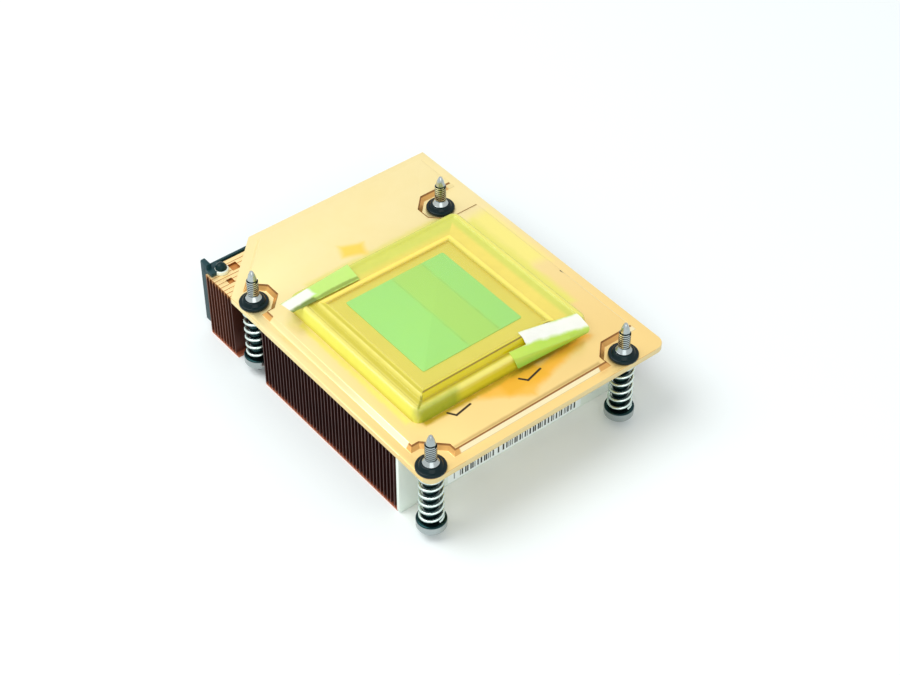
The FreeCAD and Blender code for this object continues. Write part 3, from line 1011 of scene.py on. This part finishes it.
@dataclass(frozen=True)
class BasePlate:
    """Stamped base plate: flange, raised platform and a pocket round each screw."""

    layout: Layout
    x: Pair = (-67.0, 45.6)
    y: Pair = (-38.6, 47.5)
    corner_cut: float = 19.5
    corner_radius: float = 3.4
    inset: float = 3.0
    step: float = 1.2
    buried: float = 1.0
    pockets: tuple[Pair, ...] = ((5.6, 3.6), (7.2, 5.4), (5.6, 3.6), (5.6, 3.6))
    pocket_reach: float = 20.0
    hole_radius: float = 2.6
    soft_edge: float = 0.4

    def cropped(self, name: str, inset: float, z: Pair) -> Piece:
        """Slab with the plate's outline and its 45 degree cut.

        Args:
            name: The new object's name.
            inset: How far the outline is moved inwards.
            z: Its lower and upper level.

        Returns:
            The slab.
        """
        slab = box(name, (self.x[0] + inset, self.x[1] - inset),
                   (self.y[0] + inset, self.y[1] - inset), z)
        along = self.corner_cut + inset * math.sqrt(2)
        point = ((self.x[0] + along) * MM, self.y[0] * MM, 0)
        with editing(slab):
            pick_all()
            bpy.ops.mesh.bisect(plane_co=point, plane_no=(-1, -1, 0), use_fill=True,
                                clear_outer=True)
        return slab

    def flange(self) -> Piece:
        """Lower slab with two rounded corners."""
        slab = self.cropped("base_plate_copper", 0.0,
                            (self.layout.plate_bottom, self.layout.flange_top))
        bevel(slab, lambda at, way: abs(way.z) > ALONG and at.x > 0, self.corner_radius, 8)
        return slab

    def platform(self) -> Piece:
        """Raised part with sloping sides and its four pockets."""
        foot = self.layout.flange_top
        slab = self.cropped("platform", self.inset, (foot - self.buried, foot))
        with editing(slab):
            pick(slab, Pick.FACES, lambda at, normal: normal.z > ALONG)
            bpy.ops.mesh.inset(thickness=self.step * MM,
                               depth=(self.layout.platform_top - foot) * MM)
        for centre, (half, cut) in zip(self.layout.screws, self.pockets):
            boolean(slab, self.pocket(centre, half, cut), "DIFFERENCE")
        return slab

    def pocket(self, centre: Pair, half: float, cut: float) -> Piece:
        """Form of one pocket, open towards the plate's edges.

        Args:
            centre: The screw's place.
            half: Half width of the pocket's floor.
            cut: Length of its cut corners along X and Y.

        Returns:
            The form, to be cut out of the platform.
        """
        top = self.layout.platform_top
        wide = half + self.step
        far_x = centre[0] + (self.pocket_reach if centre[0] > 0 else wide)
        side = 1 if centre[1] > 0 else -1
        inner, outer = centre[1] - side * wide, centre[1] + side * self.pocket_reach
        form = box("pocket", (centre[0] - wide, far_x), tuple(sorted((inner, outer))),
                   (top, top + OVERCUT))
        cut += self.step * (2 - math.sqrt(2))
        bevel(form, lambda at, way: abs(way.z) > ALONG and abs(at.y - inner) < NEAR
              and (centre[0] < 0 or at.x < centre[0]), cut, 1)
        with editing(form):
            pick(form, Pick.FACES, lambda at, normal: normal.z < -ALONG)
            bpy.ops.mesh.inset(thickness=self.step * MM,
                               depth=(top - self.layout.flange_top) * MM)
            extrude(z=-OVERCUT)
        return form

    def build(self, finishes: Finishes) -> None:
        """Make the plate, round its edges and dress it."""
        plate = self.flange()
        boolean(plate, self.platform(), "UNION")
        ends = self.layout.plate_bottom - OVERCUT, self.layout.platform_top + OVERCUT
        for centre in self.layout.screws:
            hole = turned("hole", centre, [(self.hole_radius, level) for level in ends])
            boolean(plate, hole, "DIFFERENCE")
        rounded(plate, self.soft_edge, segments=3)
        smooth(plate)
        place(plate, "copper_plate", finishes["plate"], "base_plate")


@dataclass(frozen=True)
class FinPack:
    """Copper fins, folded from sheet and soldered side by side, in three packs."""

    layout: Layout
    pitch: float = 1.6
    sheet: float = 0.35
    fold: float = 0.3
    first_short: float = 1.5
    packs: tuple[tuple[str, float, int, Pair], ...] = (
        ("long_fins_front", -34.1, 40, (-37.4, 46.6)),
        ("short_fins", -48.5, 9, (-26.8, 26.8)),
        ("long_fins_rear", -64.5, 10, (-37.4, 46.6)),
    )
    slots: tuple[tuple[Pair, Pair], ...] = (((-62.2, -59.0), (-30.2, -27.4)),
                                            ((-56.9, -54.7), (-34.3, -32.3)))
    slot_depth: float = 1.2
    slot_lap: float = 0.2
    slot_floor: Pair = (-1.1, -0.7)

    def fin(self, name: str, x: float, y: Pair) -> Piece:
        """One fin: a web with a flange folded over at the top and the bottom.

        Args:
            name: The new object's name.
            x: Where its web stands.
            y: Where it starts and ends.

        Returns:
            The fin.
        """
        deselect()
        low, high = self.layout.fin_bottom, self.layout.plate_bottom
        bpy.ops.mesh.primitive_plane_add(
            size=1, rotation=(0, -math.pi / 2, 0),
            location=(x * MM, (y[0] + y[1]) / 2 * MM, (low + high) / 2 * MM))
        fin = bpy.context.object
        fin.scale = ((high - low) * MM, (y[1] - y[0]) * MM, 1)
        fin = settle(name)
        with editing(fin):
            for level in (low, high):
                pick(fin, Pick.EDGES, lambda at, way: abs(way.y) > ALONG
                     and abs(at.z - level) < NEAR and abs(at.x - x) < NEAR)
                extrude(x=self.pitch)
        bevel(fin, lambda at, way: abs(way.y) > ALONG and abs(at.x - x) < NEAR, self.fold, 2)
        with editing(fin):
            pick_all()
            bpy.ops.mesh.normals_make_consistent(inside=False)
            inward = pick(fin, Pick.FACES, lambda at, normal: abs(at.x - x) < NEAR
                          and normal.x > ALONG)
            pick_all()
            if inward:
                bpy.ops.mesh.flip_normals()
        modify(fin, "SOLIDIFY", thickness=self.sheet * MM, offset=-1)
        return fin

    def build(self, finishes: Finishes) -> None:
        """Make each pack from copies of one fin."""
        for name, x, count, y in self.packs:
            pack = self.fin(f"{name}_copper", x, y)
            if name.endswith("rear"):
                self.slotted(pack, x, count, y)
            else:
                modify(pack, "ARRAY", count=count, use_relative_offset=False,
                       use_constant_offset=True,
                       constant_offset_displace=(self.pitch * MM, 0, 0))
            smooth(pack, 50)
            place(pack, "copper_fins", finishes["fins"], name)

    def slotted(self, first: Piece, x: float, count: int, y: Pair) -> None:
        """Add the other fins of a pack to its first one, and cut the slots in their tops.

        Args:
            first: The first fin, which becomes the pack.
            x: Where its web stands.
            count: How many fins the pack has.
            y: Where they start and end.
        """
        top = self.layout.plate_bottom
        fins = [first] + [self.fin("fin", x + step * self.pitch, y) for step in range(1, count)]
        with editing(first):
            pick(first, Pick.VERTS, lambda at, normal: at.y < y[0] + NEAR)
            bpy.ops.transform.translate(value=(0, self.first_short * MM, 0))
        for step, fin in enumerate(fins):
            web = x + step * self.pitch
            for slot_x, slot_y in self.slots:
                if web < slot_x[1] and web + self.pitch > slot_x[0]:
                    slot = box("slot", slot_x, slot_y, (top - self.slot_depth, top + OVERCUT))
                    boolean(fin, slot, "DIFFERENCE")
        lap = self.slot_lap
        fins += [box("slot_floor", *((low - lap, high + lap) for low, high in slot),
                     tuple(top + level for level in self.slot_floor)) for slot in self.slots]
        focus(first)
        for fin in fins:
            fin.select_set(True)
        bpy.ops.object.join()


@dataclass(frozen=True)
class EndPlates:
    """Bright front plate with its label, and the black rear plate with a riveted tab."""

    layout: Layout
    front_x: Pair = (29.9, 31.1)
    front_y: Pair = (-37.6, 46.8)
    label_x: Pair = (31.1, 31.22)
    label_y: Pair = (-20.6, 29.0)
    label_z: Pair = (-31.3, -14.3)
    rear_x: Pair = (-66.1, -62.9)
    rear_y: Pair = (-36.9, 46.6)
    rear_bottom: float = -28.4
    rear_sheet: float = 0.8
    lug_y: Pair = (-36.9, -35.2)
    lug_z: Pair = (-10.2, -5.2)
    tab_x: Pair = (-64.4, -60.4)
    tab_y: Pair = (-36.9, -32.4)
    tab_top: float = -7.0
    knob: Pair = (-61.1, -33.0)
    knob_radius: float = 1.8
    knob_height: float = 1.9
    knob_foot: float = 0.06
    knob_steps: int = 7
    sides: int = 28
    washer: tuple[Pair, ...] = ((2.2, -1.15), (2.2, -0.1), (1.9, 0.0), (0.4, 0.05))
    front_round: float = 1.0
    front_edge: float = 0.15
    label_round: float = 0.8
    lug_round: float = 0.5
    rear_edge: float = 0.2

    def front(self, finishes: Finishes) -> None:
        """Thin bright plate that closes the front of the pack."""
        plate = box("front_plate_bright", self.front_x, self.front_y,
                    (self.layout.fin_bottom, self.layout.plate_bottom))
        bevel(plate, lambda at, way: abs(way.x) > ALONG and at.z < self.label_z[1],
              self.front_round)
        rounded(plate, self.front_edge)
        smooth(plate)
        place(plate, "end_plate", finishes["aluminium"], "front_end_plate")
        label = box("paper_label", self.label_x, self.label_y, self.label_z)
        bevel(label, lambda at, way: abs(way.x) > ALONG, self.label_round)
        place(label, "label", finishes["label"], "barcode_label")

    def rear(self, finishes: Finishes) -> None:
        """Black sheet with a flange and a lug, its tab over the fins, and the tab's knob."""
        top = self.layout.plate_bottom
        back = self.rear_x[0]
        plate = box("rear_plate_black", (back, back + self.rear_sheet), self.rear_y,
                    (self.rear_bottom, top))
        flange = box("flange", self.rear_x, (self.rear_y[0], self.rear_y[0] + self.rear_sheet),
                     (self.rear_bottom, top))
        lug = box("lug", self.rear_x, self.lug_y, self.lug_z)
        bevel(lug, lambda at, way: abs(way.x) > ALONG and at.z > top, self.lug_round, 3)
        tab = box("tab", self.tab_x, self.tab_y, (top, self.tab_top))
        for part in (flange, lug, tab):
            boolean(plate, part, "UNION")
        rounded(plate, self.rear_edge)
        smooth(plate)
        place(plate, "black_plate", finishes["black"], "rear_end_plate")
        self.riveted(finishes)

    def riveted(self, finishes: Finishes) -> None:
        """Bright washer on the tab, under a black domed rivet."""
        washer = turned("tab_washer_bright", self.knob, raised(self.washer, self.tab_top),
                        self.sides)
        smooth(washer, 50)
        dress(washer, finishes["aluminium"])
        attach(washer, Body.HEATSINK.value)
        turns = [step * math.pi / 2 / self.knob_steps for step in range(self.knob_steps)]
        dome = [(self.knob_radius * math.cos(turn), self.knob_height * math.sin(turn))
                for turn in turns]
        rivet = turned("tab_rivet_black", self.knob,
                       raised(dome, self.tab_top + self.knob_foot), self.sides)
        smooth(rivet, 50)
        place(rivet, "rivet", finishes["rivet"], "tab_rivet")


@dataclass(frozen=True)
class TapeStrip:
    """One strip of tape by the ends of its rows, from its inner edge to its low edge."""

    name: str
    node: str
    finish: str
    rows: tuple[tuple[Triple, Triple], ...]


@dataclass(frozen=True)
class ContactFace:
    """Copper pedestal with its printed grease, under a thermoformed cover and tape."""

    layout: Layout
    pad_x: Pair = (-19.2, 16.8)
    pad_y: Pair = (-17.7, 17.7)
    pad_top: float = 0.2
    pad_round: float = 0.6
    pad_edge: float = 0.08
    cover_x: Pair = (-33.3, 28.4)
    cover_y: Pair = (-29.0, 33.7)
    cover_corner: float = 2.6
    draft: float = 0.7
    ledge: float = -0.9
    wall: float = 0.4
    window: float = 23.9
    window_draft: float = 0.7
    window_top: float = 0.7
    cover_edge: float = 0.7
    ridge: tuple[Pair, ...] = ((0.5, 0.45), (1.0, 0.0), (0.5, -0.45))
    tape_sheet: float = 0.12
    tape_fold: float = 0.5
    strips: tuple[TapeStrip, ...] = (
        TapeStrip("tape_strip_left", "tape_strip_rear", "tape_left", (
            ((-25.7, -31.6, -0.35), (-25.3, -8.2, -0.35)),
            ((-30.6, -32.2, -0.3), (-32.6, -7.2, -0.3)),
            ((-31.3, -32.2, -1.0), (-35.4, -8.2, -3.6)))),
        TapeStrip("tape_strip_right", "tape_strip_front", "tape_right", (
            ((21.5, 12.2, 0.85), (25.8, 30.4, 0.75)),
            ((24.1, 11.9, 0.85), (27.6, 30.4, 0.65)),
            ((25.9, 11.6, -0.2), (31.1, 30.5, -0.6)),
            ((25.3, 5.8, -0.25), (31.4, 30.4, -1.3)),
            ((28.0, 5.4, -0.65), (31.3, 30.2, -2.2)),
            ((29.2, 6.0, -3.6), (30.6, 29.8, -3.2)))),
    )

    def grease(self, finishes: Finishes) -> None:
        """Low pad of grease with a soft uneven edge."""
        pad = box("grease_print", self.pad_x, self.pad_y, (0.0, self.pad_top))
        bevel(pad, lambda at, way: abs(way.z) > ALONG, self.pad_round)
        rounded(pad, self.pad_edge)
        smooth(pad)
        place(pad, "thermal_grease", finishes["grease"], "thermal_pad")

    def cover(self, finishes: Finishes) -> None:
        """Film cover: outer wall, ledge, and a raised window over the pedestal."""
        foot = self.layout.platform_top
        film = box("cover_film_shell", self.cover_x, self.cover_y, (foot, self.ledge))
        middle = [sum(ends) / 2 for ends in (self.cover_x, self.cover_y)]
        sizes = [ends[1] - ends[0] for ends in (self.cover_x, self.cover_y)]
        bevel(film, lambda at, way: abs(way.z) > ALONG, self.cover_corner, 8)
        with editing(film):
            pick(film, Pick.FACES, lambda at, normal: normal.z > ALONG)
            ratio = [(size - 2 * self.draft) / size for size in sizes]
            bpy.ops.transform.resize(value=(*ratio, 1),
                                     center_override=(middle[0] * MM, middle[1] * MM, 0))
            window_foot = self.window + self.window_draft
            for width, rise in self.ridge:
                bpy.ops.mesh.inset(thickness=width * MM, depth=rise * MM)
            rim = self.draft + sum(width for width, _ in self.ridge)
            self._raise(middle, [size - 2 * rim for size in sizes], window_foot, 0.0)
            self._raise([0.0, 0.0], [2 * window_foot] * 2, self.window,
                        self.window_top - self.ledge)
            pick(film, Pick.FACES, lambda at, normal: normal.z < -ALONG and at.z < foot + NEAR)
            bpy.ops.mesh.delete(type="FACE")
        rounded(film, self.cover_edge, segments=4, angle=20)
        modify(film, "SOLIDIFY", thickness=self.wall * MM, offset=-1)
        smooth(film, 60)
        place(film, "cover_film", finishes["cover"], "protective_cover")

    @staticmethod
    def _raise(middle: Sequence[float], sizes: Sequence[float], half: float, rise: float) -> None:
        """Extrude the selected face up, and fit it to a square about the origin.

        Args:
            middle: The selected face's middle.
            sizes: Its length along X and Y.
            half: Half the side of the square.
            rise: How far it goes up.
        """
        extrude(-middle[0], -middle[1], rise)
        ratio = [2 * half / size for size in sizes]
        bpy.ops.transform.resize(value=(*ratio, 1), center_override=(0, 0, 0))

    def tape(self, data: TapeStrip, finishes: Finishes) -> None:
        """Strip of tape over the cover's rim, laid down corner by corner.

        Args:
            data: Its corners and its name.
            finishes: The materials.
        """
        deselect()
        bpy.ops.mesh.primitive_plane_add(size=2 * MM)
        strip = settle(data.name)
        with editing(strip):
            for column in range(2, len(data.rows)):
                pick(strip, Pick.EDGES, lambda at, way: at.x > column - 1 - NEAR)
                extrude(x=1)
            bpy.ops.mesh.select_mode(type="VERT")
            for column, row in enumerate(data.rows):
                for side, corner in zip((-1, 1), row):
                    start = Vector((column or -1, side, 0))
                    pick(strip, Pick.VERTS, lambda at, normal: (at - start).length < NEAR)
                    bpy.ops.transform.translate(value=(Vector(corner) - start) * MM)
            if pick(strip, Pick.FACES, lambda at, normal: normal.z < 0):
                pick_all()
                bpy.ops.mesh.flip_normals()
            pick_all()
            bpy.ops.mesh.subdivide(number_cuts=3)
        rounded(strip, self.tape_fold, segments=3, angle=20)
        modify(strip, "SOLIDIFY", thickness=self.tape_sheet * MM, offset=1)
        smooth(strip, 60)
        place(strip, "tape", finishes[data.finish], data.node)

    def build(self, nodes: dict[str, Piece], finishes: Finishes) -> None:
        """Dress the pedestal and make the grease, the cover and its tape."""
        dress(nodes["contact_pedestal"], finishes["pedestal"])
        self.grease(finishes)
        self.cover(finishes)
        for strip in self.strips:
            self.tape(strip, finishes)


@dataclass(frozen=True)
class CaptiveScrew:
    """Captive screw with its ring and spring. The head is below and the point above."""

    layout: Layout
    number: int
    head_z: Pair = (-29.1, -25.9)
    head_foot: tuple[Pair, ...] = ((3.8, 0.0), (4.2, 0.15), (4.4, 0.55))
    head_crown: tuple[Pair, ...] = ((4.4, -0.4), (4.28, -0.12), (4.05, 0.0))
    cross_half: Pair = (2.2, 0.55)
    cross_z: Pair = (-0.5, 1.7)
    cross_taper: float = 0.5
    sides: int = 48
    shoulder: float = 2.4
    groove: float = 2.05
    gap: float = 0.05
    neck: tuple[Pair, ...] = ((2.4, 1.1), (2.28, 1.2), (1.65, 2.3), (1.4, 2.5))
    thread: float = 1.75
    crest: float = 0.25
    root: float = 1.4
    thread_pitch: float = 0.75
    thread_z: Pair = (-2.6, 3.0)
    tip_top: float = 5.9
    point: tuple[Pair, ...] = ((1.05, -1.4), (0.55, -0.15), (0.4, 0.0))
    ring_height: float = 1.1
    ring_outline: tuple[Pair, ...] = (
        (2.1, 0.0), (4.25, 0.0), (4.4, 0.15), (4.4, 0.75), (4.28, 1.0), (4.05, 1.1), (3.55, 1.15),
        (3.0, 2.0), (2.85, 2.1), (2.45, 2.1), (2.45, 1.14), (2.1, 1.14), (2.1, 0.0))
    wire: float = 0.5
    coil_radius: float = 3.2
    coils: float = 6.6
    turn_steps: int = 20
    closed_turns: float = 0.8
    closed_rise: float = 0.0424
    press: float = 0.008

    @property
    def centre(self) -> Pair:
        """Place of the screw's axis."""
        return self.layout.screws[self.number - 1]

    def screw(self, finishes: Finishes) -> None:
        """Head with its cross, shoulder with its groove, thread and point."""
        low, high = self.head_z
        flange = self.layout.flange_top
        ring_top = flange + self.ring_height
        stations = [
            *raised(self.head_foot, low), *raised(self.head_crown, high), (self.shoulder, high),
            (self.shoulder, flange - self.gap), (self.groove, flange - self.gap),
            (self.groove, ring_top + self.gap), (self.shoulder, ring_top + self.gap),
            *raised(self.neck, ring_top), (self.root, self.thread_z[1]),
            *raised(self.point, self.tip_top)]
        screw = turned(f"screw_{self.number}_steel", self.centre, stations, self.sides)
        boolean(screw, self.cross(), "DIFFERENCE")
        thread = self.thread_coil()
        focus(screw)
        thread.select_set(True)
        bpy.ops.object.join()
        smooth(screw, 35)
        place(screw, "screw_steel", finishes["steel"], f"captive_screw_{self.number}",
              body=Body.SCREW.numbered(self.number))

    def cross(self) -> Piece:
        """Tapered cross for the driver."""
        x, y = self.centre
        low = self.head_z[0]
        arms = []
        for half_x, half_y in (self.cross_half, self.cross_half[::-1]):
            arm = box("arm", (x - half_x, x + half_x), (y - half_y, y + half_y),
                      tuple(low + level for level in self.cross_z))
            with editing(arm):
                pick(arm, Pick.FACES, lambda at, normal: normal.z > ALONG)
                bpy.ops.transform.resize(value=(self.cross_taper, self.cross_taper, 1),
                                         center_override=(x * MM, y * MM, 0))
            arms.append(arm)
        boolean(arms[0], arms[1], "UNION")
        return arms[0]

    def thread_coil(self) -> Piece:
        """Ridge of the thread: a small wedge wound up the shank."""
        deselect()
        low, high = self.thread_z
        bpy.ops.mesh.primitive_circle_add(vertices=3, radius=self.crest * MM, fill_type="NOTHING",
                                          rotation=(math.pi / 2, 0, 0), location=(0, 0, 0))
        ridge = bpy.context.object
        ridge.name = "thread"
        bpy.ops.object.transform_apply(location=False, rotation=True, scale=True)
        with editing(ridge):
            pick_all()
            bpy.ops.transform.rotate(value=math.pi / 2, orient_axis="Y", center_override=(0, 0, 0))
            mesh = bmesh.from_edit_mesh(ridge.data)
            crest = max(vert.co.x for vert in mesh.verts)
            bpy.ops.transform.translate(value=(self.thread * MM - crest, 0, low * MM))
        modify(ridge, "SCREW", angle=2 * math.pi, steps=self.turn_steps,
               render_steps=self.turn_steps, screw_offset=self.thread_pitch * MM,
               iterations=int((high - low) / self.thread_pitch), use_merge_vertices=False)
        with editing(ridge):
            pick_all()
            bpy.ops.mesh.fill_holes(sides=0)
            bpy.ops.mesh.normals_make_consistent(inside=False)
        focus(ridge)
        ridge.location = (self.centre[0] * MM, self.centre[1] * MM, 0)
        bpy.ops.object.transform_apply(location=True)
        return ridge

    def ring(self, finishes: Finishes) -> None:
        """Flat black ring that holds the screw in its hole."""
        stations = raised(self.ring_outline, self.layout.flange_top)
        ring = turned(f"ring_{self.number}_black", self.centre, stations, self.sides, hollow=True)
        smooth(ring, 50)
        place(ring, "ring_black", finishes["ring"], f"retaining_ring_{self.number}",
              body=Body.RING.numbered(self.number))

    def spring(self, finishes: Finishes) -> None:
        """Coil of round wire with closed end turns."""
        low, high = self.head_z[1] + self.wire, self.layout.plate_bottom - self.wire
        count = round(self.coils * self.turn_steps)
        deselect()
        bpy.ops.curve.primitive_nurbs_path_add()
        wire = bpy.context.object
        curve = wire.data
        curve.splines.clear()
        spline = curve.splines.new("POLY")
        spline.points.add(count)
        for index, point in enumerate(spline.points):
            share = index / count
            angle = 2 * math.pi * self.coils * share
            level = low + (high - low) * self.climb(share)
            point.co = (math.cos(angle) * self.coil_radius * MM,
                        math.sin(angle) * self.coil_radius * MM, level * MM, 1)
        curve.bevel_depth = self.wire * MM
        curve.bevel_resolution = 2
        curve.use_fill_caps = True
        wire.location = (self.centre[0] * MM, self.centre[1] * MM, 0)
        bpy.ops.object.convert(target="MESH")
        spring = settle(f"spring_{self.number}_wire")
        tidy_normals(spring)
        smooth(spring, 60)
        place(spring, "spring_steel", finishes["spring"], f"compression_spring_{self.number}")
        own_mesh(spring)

    def climb(self, share: float) -> float:
        """Share of the height that the wire has reached at a share of its turns."""
        closed, flat = self.closed_turns / self.coils, self.closed_rise
        if share < closed:
            return flat * share / closed
        if share > 1 - closed:
            return 1 - flat * (1 - share) / closed
        return flat + (1 - 2 * flat) * (share - closed) / (1 - 2 * closed)

    def build(self, finishes: Finishes) -> None:
        """Make the screw, the ring and the spring."""
        self.screw(finishes)
        self.ring(finishes)
        self.spring(finishes)


# ------------------------------------------------------------------ studio
@dataclass(frozen=True)
class Studio:
    """Pale floor, soft light and the camera."""

    layout: Layout
    target: Triple = (5.859, 0.426, -5.65)
    distance: float = 550.0
    azimuth: float = 51.40
    elevation: float = 43.36
    lens: float = 77.39
    sensor: float = 36.0
    sky: float = 0.62
    clip: float = 0.01
    floor_gap: float = 0.02
    floor_size: float = 6.0
    floor_colour: Colour = (0.9, 0.955, 0.96, 1.0)
    lamps: tuple[tuple[str, Triple, float, float], ...] = (
        ("key", (-0.35, -0.45, 0.95), 0.9, 7.5), ("fill", (0.9, -0.5, 0.7), 1.0, 3.5))

    def camera(self) -> None:
        """Camera at the usual three-quarter view from above."""
        turn, lift = math.radians(self.azimuth), math.radians(self.elevation)
        back = Vector((math.sin(turn) * math.cos(lift), -math.cos(turn) * math.cos(lift),
                       math.sin(lift)))
        deselect()
        bpy.ops.object.camera_add(location=(Vector(self.target) + back * self.distance) * MM)
        camera = bpy.context.object
        camera.rotation_euler = back.to_track_quat("Z", "Y").to_euler()
        camera.data.lens = self.lens
        camera.data.sensor_width = self.sensor
        camera.data.clip_start = self.clip
        bpy.context.scene.camera = camera

    def floor(self) -> None:
        """Pale floor that shows white to the camera and still takes the shadow."""
        deselect()
        level = self.layout.fin_bottom - self.floor_gap
        bpy.ops.mesh.primitive_plane_add(size=self.floor_size, location=(0, 0, level * MM))
        floor = settle("floor")
        material = bpy.data.materials.new("pale_floor")
        material.use_nodes = True
        surface = material.node_tree.nodes["Principled BSDF"]
        for label, value in (("Base Color", self.floor_colour), ("Roughness", 0.9),
                             ("Specular IOR Level", 0.1)):
            surface.inputs[label].default_value = value
        dress(floor, material)

    def lights(self) -> None:
        """Large soft lamps and an even pale sky."""
        for name, place_at, size, power in self.lamps:
            deselect()
            bpy.ops.object.light_add(type="AREA", location=place_at)
            lamp = bpy.context.object
            lamp.name = name
            lamp.data.shape = "DISK"
            lamp.data.size = size
            lamp.data.energy = power
            lamp.rotation_euler = Vector(place_at).to_track_quat("Z", "Y").to_euler()
        world = bpy.data.worlds.new("sky")
        bpy.context.scene.world = world
        world.use_nodes = True
        shader = Shader(world.node_tree)
        background = world.node_tree.nodes["Background"]
        path = shader.add("ShaderNodeLightPath").outputs
        seen = shader.math("MAXIMUM", path["Is Camera Ray"],
                           shader.math("MAXIMUM", path["Is Glossy Ray"],
                                       path["Is Transmission Ray"]))
        strength = shader.add("ShaderNodeMapRange", {"Value": seen, "To Min": self.sky,
                                                     "To Max": 1.0})
        shader.feed(background.inputs["Strength"], strength.outputs[0])
        background.inputs["Color"].default_value = (1, 1, 1, 1)

    def build(self) -> None:
        """Set up the studio."""
        self.camera()
        self.floor()
        self.lights()
        bpy.context.scene.view_settings.view_transform = "Standard"


def main() -> None:
    """Build the whole visual model."""
    logging.basicConfig(level=logging.INFO, format="%(name)s: %(message)s")
    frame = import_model()
    layout = Layout()
    Studio(layout).build()
    effects = Effects()
    finishes = {part: finish.build(effects) for part, finish in FINISHES.items()}
    BasePlate(layout).build(finishes)
    FinPack(layout).build(finishes)
    ends = EndPlates(layout)
    ends.front(finishes)
    ends.rear(finishes)
    ContactFace(layout).build(frame["nodes"], finishes)
    for number in range(1, len(layout.screws) + 1):
        CaptiveScrew(layout, number).build(finishes)
    deselect()


if __name__ == "__main__":
    main()
